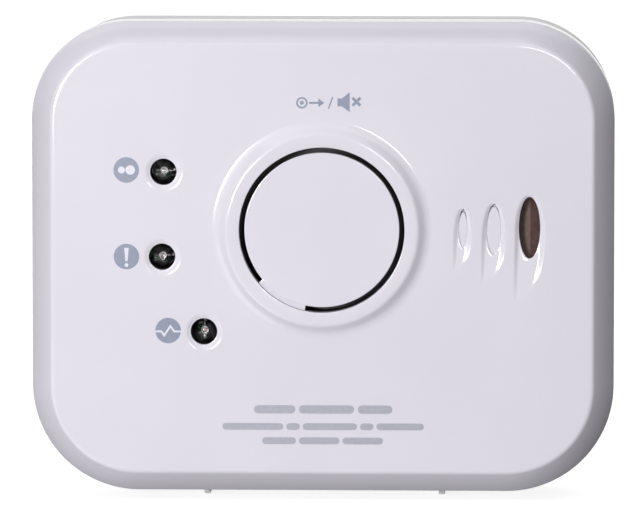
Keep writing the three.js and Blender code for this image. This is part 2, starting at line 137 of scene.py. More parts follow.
def makeLights():
    aim = Vector((0, 0, case["middle"] * mm))
    for name, soft in lights["soft"].items():
        data = bpy.data.lights.new(name, "AREA")
        data.shape = "DISK"
        data.size = soft["size"] * mm
        data.energy = soft["power"]
        light = bpy.data.objects.new(name, data)
        light.location = direction(soft["azimuth"], soft["elevation"]) * soft["distance"] * mm + aim
        light.rotation_euler = (aim - light.location).to_track_quat("-Z", "Y").to_euler()
        scene.collection.objects.link(light)
    world = bpy.data.worlds.new("studio")
    scene.world = world
    world.use_nodes = True
    sky = world.node_tree.nodes["Background"]
    sky.inputs["Color"].default_value = (1.0, 1.0, 1.0, 1)
    sky.inputs["Strength"].default_value = lights["world"]
    scene.view_settings.view_transform = "Standard"


# Modelling helpers

def deselect():
    bpy.ops.object.select_all(action="DESELECT")


def choose(piece):  # selects one piece alone
    deselect()
    piece.select_set(True)
    bpy.context.view_layer.objects.active = piece


def settle(piece=None):  # puts a piece's place into its mesh
    piece = piece or bpy.context.active_object
    choose(piece)
    bpy.ops.object.transform_apply(location=True, rotation=True, scale=True)
    return piece


def named(name):
    piece = settle()
    piece.name = name
    piece.data.name = name
    return piece


def openEdit(piece, kind="EDGE"):
    choose(piece)
    bpy.ops.object.mode_set(mode="EDIT")
    bpy.ops.mesh.select_mode(type=kind)


def closeEdit():
    bpy.ops.object.mode_set(mode="OBJECT")


def pick(piece, kind, test):  # kind is verts, edges or faces
    bpy.ops.mesh.select_mode(type={"verts": "VERT", "edges": "EDGE", "faces": "FACE"}[kind])
    bpy.ops.mesh.select_all(action="DESELECT")
    mesh = bmesh.from_edit_mesh(piece.data)
    for element in getattr(mesh, kind):
        if test(element):
            element.select_set(True)
    bmesh.update_edit_mesh(piece.data)


def isOpenEdgeAt(height):  # an edge on a hole's boundary, at that height
    return lambda edge: len(edge.link_faces) == 1 and all(
        abs(vert.co.z - height * mm) < 0.01 * mm for vert in edge.verts
    )


def extrudeUp(rise):
    bpy.ops.mesh.extrude_region_move(TRANSFORM_OT_translate={"value": (0, 0, rise * mm)})


def liftRing(radiusFactor, rise):
    extrudeUp(rise)
    bpy.ops.transform.resize(value=(radiusFactor, radiusFactor, 1), center_override=(0, 0, 0))


def weld():  # joins touching points and turns the faces outwards
    bpy.ops.mesh.select_all(action="SELECT")
    bpy.ops.mesh.remove_doubles(threshold=0.0005 * mm)
    bpy.ops.mesh.normals_make_consistent(inside=False)


def arc(centreRadius, centreHeight, radius, start, end, steps):  # points of a round edge
    points = []
    for step in range(steps + 1):
        angle = math.radians(start + (end - start) * step / steps)
        points.append((centreRadius + radius * math.cos(angle), centreHeight + radius * math.sin(angle)))
    return points


def turned(name, profile, steps=64, closed=True):  # profile is (radius, height) points
    deselect()
    pole = 0.002  # a point on the axis starts as a tiny ring, welded later
    radius, height = profile[0]
    radius = max(radius, pole)
    bpy.ops.mesh.primitive_circle_add(vertices=steps, radius=radius * mm, location=(0, 0, height * mm))
    piece = named(name)
    openEdit(piece)
    bpy.ops.mesh.select_all(action="SELECT")
    for nextRadius, nextHeight in profile[1:]:
        nextRadius = max(nextRadius, pole)
        liftRing(nextRadius / radius, nextHeight - height)
        radius, height = nextRadius, nextHeight
    if closed:
        bpy.ops.mesh.select_all(action="SELECT")
        bpy.ops.mesh.remove_doubles(threshold=1.5 * pole * mm)
        bpy.ops.mesh.fill_holes(sides=0)
        bpy.ops.mesh.select_all(action="SELECT")
        bpy.ops.mesh.normals_make_consistent(inside=False)
    closeEdit()
    return piece


def slideTo(piece, x, y, height=0.0):  # moves a lying piece
    piece.location = (x * mm, y * mm, height * mm)
    return settle(piece)


def standUp(piece):
    piece.rotation_euler = (math.pi / 2, 0, 0)
    return settle(piece)


def joined(name, pieces):
    deselect()
    for piece in pieces:
        piece.select_set(True)
    bpy.context.view_layer.objects.active = pieces[0]
    bpy.ops.object.join()
    return named(name)


def smooth(piece, angle=35):
    choose(piece)
    bpy.ops.object.shade_smooth_by_angle(angle=math.radians(angle))
    return piece


def applied(piece, kind, **settings):
    choose(piece)
    modifier = piece.modifiers.new(kind.lower(), kind)
    for key, value in settings.items():
        setattr(modifier, key, value)
    bpy.ops.object.modifier_apply(modifier=modifier.name)
    return piece


def carved(piece, tool, operation="DIFFERENCE"):
    applied(piece, "BOOLEAN", object=tool, operation=operation, solver="EXACT")
    bpy.data.objects.remove(tool)
    return piece


def finished(piece, body, slot, material, *nodes):
    piece.data.materials.clear()
    piece.data.materials.append(material)
    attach(piece, body)
    if nodes:
        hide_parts(*nodes)
    return piece


# Materials

finish = {
    "rampStops": (0.35, 0.65),  # where on the noise the two shades begin
    "cloudScale": 45,
    "wearScale": 160,
    "wearSpread": 0.18,  # share by which the plastic's roughness varies
    "metalSpread": 0.25,
}


def newMaterial(name):
    material = bpy.data.materials.new(name)
    material.use_nodes = True
    tree = material.node_tree
    return material, tree, tree.nodes["Principled BSDF"]


def noise(tree, scale, detail):
    node = tree.nodes.new("ShaderNodeTexNoise")
    node.inputs["Scale"].default_value = scale
    node.inputs["Detail"].default_value = detail
    place = tree.nodes.new("ShaderNodeTexCoord")
    tree.links.new(place.outputs["Object"], node.inputs["Vector"])
    return node


def ramp(tree, source, low, high):
    node = tree.nodes.new("ShaderNodeValToRGB")
    for stop, place, colour in zip(node.color_ramp.elements, finish["rampStops"], (low, high)):
        stop.position = place
        stop.color = (*colour, 1)
    tree.links.new(source, node.inputs["Fac"])
    return node.outputs["Color"]


def between(tree, source, low, high):
    node = tree.nodes.new("ShaderNodeMapRange")
    node.inputs["To Min"].default_value = low
    node.inputs["To Max"].default_value = high
    tree.links.new(source, node.inputs["Value"])
    return node.outputs["Result"]


def varied(tree, shader, cloud, roughness, spread):
    source = between(tree, cloud.outputs["Fac"], roughness * (1 - spread), roughness * (1 + spread))
    tree.links.new(source, shader.inputs["Roughness"])


def bump(tree, shader, source, strength, distance):
    node = tree.nodes.new("ShaderNodeBump")
    node.inputs["Strength"].default_value = strength
    node.inputs["Distance"].default_value = distance
    tree.links.new(source, node.inputs["Height"])
    tree.links.new(node.outputs["Normal"], shader.inputs["Normal"])


def cloudyColour(tree, shader, cloud, colour, spread):  # two near shades of one colour
    low = [value * (1 - spread) for value in colour]
    high = [min(1.0, value * (1 + spread)) for value in colour]
    tree.links.new(ramp(tree, cloud.outputs["Fac"], low, high), shader.inputs["Base Color"])


def mouldedPlastic(name, colour, spread, roughness, grainScale, grainDepth, grainStrength=0.25):
    material, tree, shader = newMaterial(name)
    cloud = noise(tree, finish["cloudScale"], 3)
    cloudyColour(tree, shader, cloud, colour, spread)
    wear = noise(tree, finish["wearScale"], 4)
    varied(tree, shader, wear, roughness, finish["wearSpread"])
    grain = noise(tree, grainScale, 2)
    bump(tree, shader, grain.outputs["Fac"], grainStrength, grainDepth)
    return material


glossWhite = mouldedPlastic("glossWhiteAbs", (0.81, 0.785, 0.865), 0.012, 0.1, 900, 0.00002, 0.08)
mattWhite = mouldedPlastic("mattWhiteAbs", (0.80, 0.79, 0.82), 0.015, 0.5, 2600, 0.00006, 0.35)
satinBlack = mouldedPlastic("satinBlackNylon", (0.024, 0.018, 0.022), 0.2, 0.5, 1800, 0.00004, 0.3)


# Floor and backdrop

stage = {
    "grey": (0.6, 0.6, 0.6),
    "roughness": 0.8,
    "floorSize": 12,  # metres
    "wallSize": 8,
    "wallBehind": 2.2,
}


def glowing(name, glow):
    material, tree, shader = newMaterial(name)
    shader.inputs["Base Color"].default_value = (*stage["grey"], 1)
    shader.inputs["Roughness"].default_value = stage["roughness"]
    shader.inputs["Emission Color"].default_value = (1, 1, 1, 1)
    shader.inputs["Emission Strength"].default_value = glow
    return material


def makeStage():
    deselect()
    bpy.ops.mesh.primitive_plane_add(size=stage["floorSize"], location=(0, 0, 0))
    floor = named("studioFloor")
    floor.data.materials.append(glowing("paleFloor", lights["floorGlow"]))
    deselect()
    bpy.ops.mesh.primitive_plane_add(
        size=stage["wallSize"], location=(0, stage["wallBehind"], stage["wallSize"] / 2),
        rotation=(math.pi / 2, 0, 0),
    )
    wall = named("studioWall")
    wall.data.materials.append(glowing("paleWall", lights["wallGlow"]))
    floor.visible_diffuse = False  # the floor is seen, and throws no light back at the case
    floor.visible_glossy = False
    floor.visible_shadow = False


makeCamera()
makeLights()
makeStage()
print("camera, lights and floor are in place")


# Front cover

cover = {
    "startSlope": 46,  # degrees, where the shoulder leaves the face
    "endSlope": 58,
    "rimSlopes": (90, 80, 69),  # from the skirt round to the shoulder
    "rimRound": 0.45,
    "creaseRound": 1.2,
    "shoulderSteps": 14,
    "creaseSteps": 5,
    "cornerSegments": 28,
    "holdingBand": 0.35,  # flat strip that keeps the face's shading flat
    "innerHeight": 15.0,
    "innerGap": 0.05,
}


def caseOutline(name, inset, height):  # a rounded rectangle, as one face
    deselect()
    bpy.ops.mesh.primitive_plane_add(size=1, location=(0, case["middle"] * mm, height * mm))
    high = case["rimTop"] - case["rimBottom"]
    bpy.context.active_object.scale = ((case["width"] - 2 * inset) * mm, (high - 2 * inset) * mm, 1)
    piece = named(name)
    openEdit(piece, "VERT")
    for side, radius in ((1, case["topCorner"]), (-1, case["bottomCorner"])):
        limit = case["middle"] * mm
        pick(piece, "verts", lambda vert: len(vert.link_edges) == 2 and (
            abs(abs(vert.co.x) - (case["width"] / 2 - inset) * mm) < 1e-6
            and abs(abs(vert.co.y - limit) - (high / 2 - inset) * mm) < 1e-6
            and (vert.co.y - limit) * side > 0
        ))
        bpy.ops.mesh.bevel(
            affect="VERTICES", offset=(radius - inset) * mm, segments=cover["cornerSegments"], profile=0.5
        )
    closeEdit()
    return piece


def insetSteps(steps):  # steps are (inset, rise) from the last ring
    for thickness, rise in steps:
        bpy.ops.mesh.inset(thickness=thickness * mm, depth=rise * mm, use_even_offset=True)


def shoulderPath():  # (inset, height, slope) from the skirt's top to the face
    slopes = [*cover["rimSlopes"], cover["endSlope"]]
    small = cover["rimRound"]
    path = []
    base = case["rimHeight"] - small * math.cos(math.radians(cover["endSlope"]))
    for slope in slopes:
        angle = math.radians(slope)
        path.append((small * (1 - math.sin(angle)), base + small * math.cos(angle), slope))
    first = math.radians(cover["endSlope"])
    last = math.radians(cover["startSlope"])
    start = path[-1][0]
    crease = cover["creaseRound"]
    creaseWidth = crease * math.sin(last)
    creaseRise = crease * (1 - math.cos(last))
    across = case["shoulder"] - start - creaseWidth
    up = case["faceHeight"] - case["rimHeight"] - creaseRise
    turn = math.sin(first) - math.sin(last)
    rise = math.cos(last) - math.cos(first)
    for step in range(1, cover["shoulderSteps"] + 1):
        angle = first + (last - first) * step / cover["shoulderSteps"]
        path.append((
            start + across * (math.sin(first) - math.sin(angle)) / turn,
            case["rimHeight"] + up * (math.cos(angle) - math.cos(first)) / rise,
            math.degrees(angle),
        ))
    edge = path[-1]
    for step in range(1, cover["creaseSteps"] + 1):
        angle = last * (1 - step / cover["creaseSteps"])
        path.append((
            edge[0] + crease * (math.sin(last) - math.sin(angle)),
            edge[1] + crease * (math.cos(angle) - math.cos(last)),
            math.degrees(angle),
        ))
    return path


def coverSide(name, inset, path, band=()):  # one side of the cover, from the skirt up to the face
    piece = caseOutline(name, inset, case["skirtHeight"])
    openEdit(piece, "FACE")
    bpy.ops.mesh.select_all(action="SELECT")
    extrudeUp(path[0][1] - case["skirtHeight"])
    insetSteps([(b[0] - a[0], b[1] - a[1]) for a, b in zip(path, path[1:])] + list(band))
    bpy.ops.mesh.delete(type="FACE")
    pick(piece, "faces", lambda face: len(face.verts) > 4)
    bpy.ops.mesh.delete(type="FACE")
    closeEdit()
    return piece


def coverOutside():
    return coverSide("coverOutside", 0, shoulderPath(), [(cover["holdingBand"], 0)])


def coverInside():
    wall = case["wall"]
    path = []
    for inset, height, slope in shoulderPath()[:-cover["creaseSteps"]:2]:
        angle = math.radians(slope)
        inner = height - wall * math.cos(angle)
        if inner < cover["innerHeight"] - cover["innerGap"]:
            path.append((inset + wall * math.sin(angle), inner))
    mitre = case["shoulder"] + wall * math.tan(math.radians(cover["startSlope"] / 2))
    path.append((mitre, cover["innerHeight"]))
    return coverSide("coverInside", wall, path)


ring = {
    "hole": 17.0,
    "slopes": ((22.75, 0), (21.6, 19), (20.75, 39), (20.05, 39), (19.3, 0)),  # radius and fall in degrees
    "margin": 0.35,  # flat strip round the ring
    "parts": 7,  # steps in each stretch of slope
    "lipRound": 0.16,
    "steps": 192,
}


def ringPatch():  # raised ring round the button, blending into the face
    height = case["faceHeight"]
    profile = [(ring["slopes"][0][0] + ring["margin"], height)]
    for (outer, low), (inner, high) in zip(ring["slopes"], ring["slopes"][1:]):
        parts = ring["parts"]
        for i in range(parts):
            share = i / parts
            profile.append((outer + (inner - outer) * share, height))
            fall = low + (high - low) * (share + 0.5 / parts)
            height += math.tan(math.radians(fall)) * (outer - inner) / parts
    profile.append((ring["slopes"][-1][0], height))
    lip = ring["lipRound"]
    profile += arc(ring["hole"] + lip, height - lip, lip, 90, 180, 4)
    profile.append((ring["hole"], cover["innerHeight"]))
    patch = turned("ringPatch", profile, ring["steps"], closed=False)
    centreOfHorn = middle("sounder_horn")
    return slideTo(patch, centreOfHorn.x / mm, centreOfHorn.z / mm)


dish = {
    "hole": 2.72,
    "edge": 4.05,
    "curve": 1.8,
    "steepest": 36,  # degrees, just before the hole
    "lipRound": 0.2,
    "lipDrop": 0.8,  # share of the lip's round that it drops
    "lipTurn": 10,  # degrees
    "margin": 0.25,
    "steps": 96,
    "holders": ("led_holder_alarm", "led_holder_fault", "led_holder_power"),
}


def dishPatches():  # shallow dish round each light
    face = case["faceHeight"]
    lip = dish["lipRound"]
    curve = dish["curve"]
    profile = [(dish["edge"] + dish["margin"] * 2, face), (dish["edge"] + dish["margin"], face)]
    profile += arc(dish["edge"], face - curve, curve, 90, 90 + dish["steepest"], 9)
    low = profile[-1][1]
    lipStart = 90 + dish["steepest"] + dish["lipTurn"]
    profile += arc(dish["hole"] + lip, low - lip * dish["lipDrop"], lip, lipStart, 180, 4)
    profile.append((dish["hole"], cover["innerHeight"]))
    patches = []
    for node in dish["holders"]:
        place = middle(node)
        patch = turned("dishPatch", profile, dish["steps"], closed=False)
        patches.append(slideTo(patch, place.x / mm, place.z / mm))
    return patches


ventShapes = [  # x, y and size of each slot, then the scoop's left, right, top, widest line and tip
    {"x": 29.0, "y": 6.3, "width": 1.9, "height": 8.6, "open": False, "depth": 0.58,
     "left": 26.85, "right": 30.8, "top": 11.0, "widest": 4.4, "tip": -3.2},
    {"x": 35.3, "y": 6.1, "width": 3.0, "height": 10.9, "open": False, "depth": 0.64,
     "left": 32.6, "right": 37.8, "top": 12.0, "widest": 4.0, "tip": -5.9},
    {"x": 42.6, "y": 6.5, "width": 4.45, "height": 13.0, "open": True, "depth": 0.7,
     "left": 39.35, "right": 45.9, "top": 13.7, "widest": 5.2, "tip": -9.8},
]
scoop = {
    "leftWall": (0.6, 0.75),  # width at the tip, and how much it grows
    "rightWall": 1.35,
    "leftFade": 1.0,  # how soon each side runs out toward the tip
    "rightFade": 1.65,
    "lowerBend": (0.85, 0.15),  # what pulls the right side's curve, as shares of width and drop
    "upperBend": (1.01, 0.6),
    "fineSteps": 200,
    "points": 180,
    "rows": (0, 0.03, 0.06, 0.1, 0.15, 0.21, 0.28, 0.36, 0.45, 0.55, 0.66, 0.78, 0.9, 1),
    "margin": 0.35,
    "lip": ((0.03, 0.02), (0.05, 0.07)),  # steps in and down at the slot's edge
    "floorShare": 0.9,  # of the scoop's depth, for a blind slot's floor
    "grooveStart": 0.06,
    "grooveWidth": 0.11,  # round a blind slot
    "grooveSlope": 0.02,
    "grooveDepth": 0.16,
    "topGap": 0.13,
    "topDepth": 1.0,
}


def scoopOutline(vent):  # even points round the scoop, from its tip
    width = vent["right"] - vent["left"]
    drop = vent["widest"] - vent["tip"]
    a = Vector((vent["left"], vent["tip"]))
    bends = (scoop["lowerBend"], scoop["upperBend"])
    b, c = (a + Vector((across * width, up * drop)) for across, up in bends)
    d = Vector((vent["right"], vent["widest"]))
    fine = scoop["fineSteps"]
    points = []
    for step in range(fine):
        t = step / fine
        points.append(a * (1 - t) ** 3 + b * 3 * t * (1 - t) ** 2 + c * 3 * t * t * (1 - t) + d * t ** 3)
    for step in range(fine):
        angle = math.pi * step / fine
        points.append(Vector((
            (vent["left"] + vent["right"]) / 2 + width / 2 * math.cos(angle),
            vent["widest"] + (vent["top"] - vent["widest"]) * math.sin(angle),
        )))
    for step in range(fine):
        points.append(Vector((vent["left"], vent["widest"])).lerp(a, step / fine))
    lengths = [(points[(i + 1) % len(points)] - points[i]).length for i in range(len(points))]
    spacing = sum(lengths) / scoop["points"]
    even = []
    travelled = 0.0
    wanted = 0.0
    for i, length in enumerate(lengths):
        while wanted < travelled + length and len(even) < scoop["points"]:
            share = (wanted - travelled) / length
            even.append(points[i].lerp(points[(i + 1) % len(points)], share))
            wanted += spacing
        travelled += length
    return even


def distanceTo(point, line):
    best = 1e9
    for start, end in zip(line, line[1:]):
        along = end - start
        share = max(0.0, min(1.0, (point - start).dot(along) / along.length_squared))
        best = min(best, (point - start - along * share).length)
    return best


def easeIn(value):
    value = max(0.0, min(1.0, value))
    return value * value * (3 - 2 * value)


def scoopDepthAt(vent, point, outline):
    top = max(range(len(outline)), key=lambda i: outline[i].y)
    along = max(0.0, min(1.0, (point.y - vent["tip"]) / (vent["y"] - vent["tip"])))
    narrow, growth = scoop["leftWall"]
    right = distanceTo(point, outline[:top + 1])
    left = distanceTo(point, outline[top:] + outline[:1])
    share = left / (left + right + 1e-9)
    floor = (1 - share) * along ** scoop["leftFade"] + share * along ** scoop["rightFade"]
    walls = easeIn(right / scoop["rightWall"]) * easeIn(left / (narrow + growth * along))
    return vent["depth"] * floor * walls


def ventPatch(vent):
    outline = scoopOutline(vent)
    count = len(outline)
    centre = Vector((vent["x"], vent["y"]))
    face = case["faceHeight"]
    slot = []
    margin = []
    for i, point in enumerate(outline):
        ray = (point - centre).normalized()
        reach = 1 / math.hypot(ray.x / (vent["width"] / 2), ray.y / (vent["height"] / 2))
        slot.append(centre + ray * reach)
        along = (outline[(i + 1) % count] - outline[i - 1]).normalized()
        outward = Vector((along.y, -along.x))
        margin.append((*(point + outward * scoop["margin"]), face))
    rings = [margin]
    for row in scoop["rows"]:
        line = []
        for i, point in enumerate(outline):
            here = point.lerp(slot[i], row)
            line.append((here.x, here.y, face - (scoopDepthAt(vent, here, outline) if row else 0)))
        rings.append(line)
    border = rings[-1]

    def insetRing(shrink, level=None, drop=0.0, pull=0.0, deep=0.0):  # drop is from the border
        factor = 1 - shrink / (vent["width"] / 2)
        line = []
        for x, y, z in border:
            upper = max(0, (y - vent["y"]) * 2 / vent["height"]) ** 3
            line.append((vent["x"] + (x - vent["x"]) * factor,
                         vent["y"] + (y - vent["y"]) * factor - pull * upper,
                         z - drop if level is None else level - deep * upper))
        return line

    rings += [insetRing(shrink, drop=drop) for shrink, drop in scoop["lip"]]
    if vent["open"]:
        rings.append(insetRing(scoop["lip"][-1][0], cover["innerHeight"]))
    else:
        floor = face - vent["depth"] * scoop["floorShare"]
        low = floor - scoop["grooveDepth"]
        start, pull, deep = scoop["grooveStart"], scoop["topGap"], scoop["topDepth"]
        end = start + scoop["grooveWidth"]
        rings += [insetRing(start, low, deep=deep), insetRing(end, low, pull=pull, deep=deep),
                  insetRing(end + scoop["grooveSlope"], floor, pull=pull)]
    corners = [(x * mm, (y + case["middle"]) * mm, z * mm) for line in rings for x, y, z in line]
    faces = []
    for level in range(len(rings) - 1):
        for i in range(count):
            after = (i + 1) % count
            faces.append((level * count + i, level * count + after,
                          (level + 1) * count + after, (level + 1) * count + i))
    if not vent["open"]:
        faces.append(tuple((len(rings) - 1) * count + i for i in range(count)))
    mesh = bpy.data.meshes.new("ventPatch")
    mesh.from_pydata(corners, [], faces)
    piece = bpy.data.objects.new("ventPatch", mesh)
    scene.collection.objects.link(piece)
    return piece


def makeCover():
    pieces = [coverOutside(), coverInside(), ringPatch(), *dishPatches(), *map(ventPatch, ventShapes)]
    piece = joined("coverShell", pieces)
    openEdit(piece)
    pick(piece, "edges", isOpenEdgeAt(case["skirtHeight"]))
    bpy.ops.mesh.bridge_edge_loops()
    for height in (case["faceHeight"], cover["innerHeight"]):
        pick(piece, "edges", isOpenEdgeAt(height))
        bpy.ops.mesh.fill(use_beauty=True)
    weld()
    closeEdit()
    smooth(standUp(piece), 40)
    return finished(piece, "case", "gloss_white", glossWhite, "front_cover")


frontCover = makeCover()
print("front cover is made,", len(frontCover.data.polygons), "faces")

# Test button

button = {
    "radius": 15.9,
    "front": 17.9,
    "back": 15.9,
    "edgeRound": 0.16,
    "backChamfer": 0.3,
    "faceBand": 0.2,  # flat strip that keeps the face's shading flat
    "bridgeBite": 0.7,  # how far the bridge runs into the disc
    "bridgeBevel": 0.05,
    "bridgeSteps": 38,
    "bridgeFrom": 220,  # degrees, counterclockwise from the right
    "bridgeTo": 258,
    "bridgeReach": 16.93,
    "bridgeFront": 17.7,
    "bridgeBack": 17.0,
    "steps": 192,
}


def spunBar(name, inner, outer, bottom, top, start, end, steps):  # a bar bent round the origin
    deselect()
    bpy.ops.mesh.primitive_plane_add(
        size=1, rotation=(math.pi / 2, 0, 0),
        location=((inner + outer) / 2 * mm, 0, (bottom + top) / 2 * mm),
    )
    bpy.context.active_object.scale = ((outer - inner) * mm, (top - bottom) * mm, 1)
    bar = named(name)
    bar.rotation_euler = (0, 0, math.radians(start))
    settle(bar)
    openEdit(bar, "FACE")
    bpy.ops.mesh.select_all(action="SELECT")
    bpy.ops.mesh.spin(
        steps=steps, angle=math.radians(end - start), center=(0, 0, 0), axis=(0, 0, -1), dupli=False
    )
    weld()
    closeEdit()
    return bar


def makeButton():
    front, back, rounding = button["front"], button["back"], button["edgeRound"]
    radius, chamfer = button["radius"], button["backChamfer"]
    profile = [(0, back), (radius - chamfer, back), (radius, back + chamfer)]
    profile += arc(radius - rounding, front - rounding, rounding, 0, 90, 4)
    profile += [(radius - rounding - button["faceBand"], front), (radius / 2, front), (0, front)]
    disc = turned("testButton", profile, button["steps"])
    bridge = spunBar(
        "bridge", radius - button["bridgeBite"], button["bridgeReach"], button["bridgeBack"],
        button["bridgeFront"], button["bridgeFrom"], button["bridgeTo"], button["bridgeSteps"],
    )
    applied(bridge, "BEVEL", width=button["bridgeBevel"] * mm, segments=2, limit_method="ANGLE",
            angle_limit=math.radians(50))
    disc = carved(disc, bridge, "UNION")
    place = middle("sounder_horn")
    smooth(standUp(slideTo(disc, place.x / mm, place.z / mm)), 40)
    return finished(disc, "test_button", "gloss_white", glossWhite, "test_button")


makeButton()
print("test button is made")


# Indicator lights

lamp = {
    "names": ("alarm", "fault", "power"),
    "turns": (0, 0, 90),  # how each one was soldered in
    "tip": 15.9,
    "length": 8.6,
    "radius": 2.5,
    "flange": 2.9,
    "flangeHeight": 1.0,
    "cupHeight": 13.1,  # its rim; what follows hangs below that
    "cupRadius": 0.47,
    "cupFoot": 0.75,
    "cupFloor": 0.6,
    "cupPost": (-0.5, 0.25, 0.15),  # left, right and half the thickness
    "wirePost": (0.75, 1.0, 0.12),
    "wirePostTop": 0.9,
    "postReach": 4.4,  # below the flange
    "wingStart": 0.44,
    "wingReach": 0.9,
    "wingHalf": 0.07,
    "wingDrops": (0.4, 0.25),
    "dieHalf": 0.1,
    "dieDrops": (0.58, 0.3),
}


def clearEpoxy():
    material, tree, shader = newMaterial("clearEpoxy")
    shader.inputs["Base Color"].default_value = (0.97, 0.97, 0.98, 1)
    shader.inputs["Transmission Weight"].default_value = 1.0
    shader.inputs["IOR"].default_value = 1.53
    cloud = noise(tree, 900, 2)
    tree.links.new(between(tree, cloud.outputs["Fac"], 0.01, 0.05), shader.inputs["Roughness"])
    return material


def polishedMetal(name, colour, roughness, spread=0.08, scale=1400):
    material, tree, shader = newMaterial(name)
    cloud = noise(tree, scale, 3)
    cloudyColour(tree, shader, cloud, colour, spread)
    shader.inputs["Metallic"].default_value = 1.0
    varied(tree, shader, cloud, roughness, finish["metalSpread"])
    bump(tree, shader, cloud.outputs["Fac"], 0.2, 0.00002)
    return material


epoxy = clearEpoxy()
leadSilver = polishedMetal("leadSilver", (0.25, 0.235, 0.24), 0.35)
dieRose = polishedMetal("dieRose", (0.62, 0.40, 0.35), 0.5)
dieGrey = polishedMetal("dieGrey", (0.45, 0.42, 0.43), 0.5)


def block(name, x0, x1, y0, y1, z0, z1, rounding=0.0):  # a lying box with softened edges
    deselect()
    bpy.ops.mesh.primitive_cube_add(
        size=1, location=((x0 + x1) / 2 * mm, (y0 + y1) / 2 * mm, (z0 + z1) / 2 * mm)
    )
    bpy.context.active_object.scale = ((x1 - x0) * mm, (y1 - y0) * mm, (z1 - z0) * mm)
    piece = named(name)
    if rounding:
        openEdit(piece)
        bpy.ops.mesh.select_all(action="SELECT")
        bpy.ops.mesh.bevel(offset=rounding * mm, segments=2, affect="EDGES")
        closeEdit()
    return piece


def leadFrame(name):  # cup, posts and wings, seen through the dome
    cup, high = lamp["cupRadius"], lamp["cupHeight"]
    foot, floor = high - lamp["cupFoot"], high - lamp["cupFloor"]
    bottom = lamp["tip"] - lamp["length"] - lamp["postReach"]
    parts = [turned("cup", [
        (0, foot), (cup * 0.8, foot), (cup, high), (cup * 0.78, high), (cup * 0.55, floor), (0, floor),
    ], 32)]
    for post, top in (("cupPost", foot), ("wirePost", high - lamp["wirePostTop"])):
        left, right, half = lamp[post]
        parts.append(block(post, left, right, -half, half, bottom, top, 0.04))
    start, reach, half = lamp["wingStart"], lamp["wingReach"], lamp["wingHalf"]
    low, top = (high - drop for drop in lamp["wingDrops"])
    for left, right in ((-reach, -start), (start, reach)):
        parts.append(block("wing", left, right, -half, half, low, top, 0.03))
    return joined(name, parts)


def makeIndicators():
    tip, radius = lamp["tip"], lamp["radius"]
    base = tip - lamp["length"]
    profile = [(0, base), (lamp["flange"], base)]
    profile += [(lamp["flange"], base + lamp["flangeHeight"]), (radius, base + lamp["flangeHeight"])]
    profile += arc(0, tip - radius, radius, 0, 90, 16)
    for name, turn in zip(lamp["names"], lamp["turns"]):
        place = middle("led_holder_" + name)
        spot = (place.x / mm, place.z / mm)
        dome = slideTo(turned("lens_" + name, profile, 64), *spot)
        smooth(standUp(dome), 40)
        finished(dome, "case", "clear_lens", epoxy, "led_" + name)
        metal = leadFrame("leadFrame_" + name)
        metal.rotation_euler = (0, 0, math.radians(turn))
        settle(metal)
        smooth(standUp(slideTo(metal, *spot)), 30)
        finished(metal, "case", "nickel", leadSilver)
        half = lamp["dieHalf"]
        low, high = (lamp["cupHeight"] - drop for drop in lamp["dieDrops"])
        die = block("die_" + name, -half, half, -half, half, low, high)
        standUp(slideTo(die, *spot))
        finished(die, "case", "brass", dieRose if name == "power" else dieGrey)


makeIndicators()
print("indicator lights are made")


# Sensor can

can = {
    "shadeEdge": (-0.62, -0.5),  # where the painted lit side meets the painted shade, from the can's middle
    # painted light and painted shade: the pale tones paint the lit left side, the dark tones paint the
    # shaded right side
    "paintedLitTones": ((0.175, 0.125, 0.112), (0.215, 0.155, 0.14)),
    "paintedShadeTones": ((0.098, 0.055, 0.05), (0.125, 0.07, 0.062)),
    "shine": 0.15,
    "footRise": 0.6,
    "footWidth": 1.4,
    "footRound": 0.5,
    "grooveDepth": 0.35,
    "grooveDrops": (2.2, 1.9, 1.4, 1.1),  # below the top
    "lidRound": 0.4,
    "lidWidth": 1.3,
    "lidDrop": 0.5,
}


def canFilmPaintedShade():  # brown film, painted lighter down its lit left side and darker in the shade down its right
    material = mouldedPlastic("canFilmPaintedShade", can["paintedShadeTones"][1], 0.15, 0.75, 1500, 0.00003, 0.3)
    tree = material.node_tree
    shader = tree.nodes["Principled BSDF"]
    shader.inputs["Specular IOR Level"].default_value = can["shine"]
    place = tree.nodes.new("ShaderNodeTexCoord")
    split = tree.nodes.new("ShaderNodeSeparateXYZ")
    tree.links.new(place.outputs["Object"], split.inputs["Vector"])
    shadeEdge = tree.nodes.new("ShaderNodeMapRange")
    for end, offset in zip(("From Min", "From Max"), can["shadeEdge"]):
        shadeEdge.inputs[end].default_value = middle("sensor_cell").x + offset * mm
    tree.links.new(split.outputs["X"], shadeEdge.inputs["Value"])
    cloud = noise(tree, 700, 3)
    # pale on the left for the painted light, dark on the right for the painted shade
    mix = tree.nodes.new("ShaderNodeMix")
    mix.data_type = "RGBA"
    tree.links.new(shadeEdge.outputs["Result"], mix.inputs["Factor"])
    for end, shades in (("A", can["paintedLitTones"]), ("B", can["paintedShadeTones"])):
        tree.links.new(ramp(tree, cloud.outputs["Fac"], *shades), mix.inputs[end])
    tree.links.new(mix.outputs["Result"], shader.inputs["Base Color"])
    return material


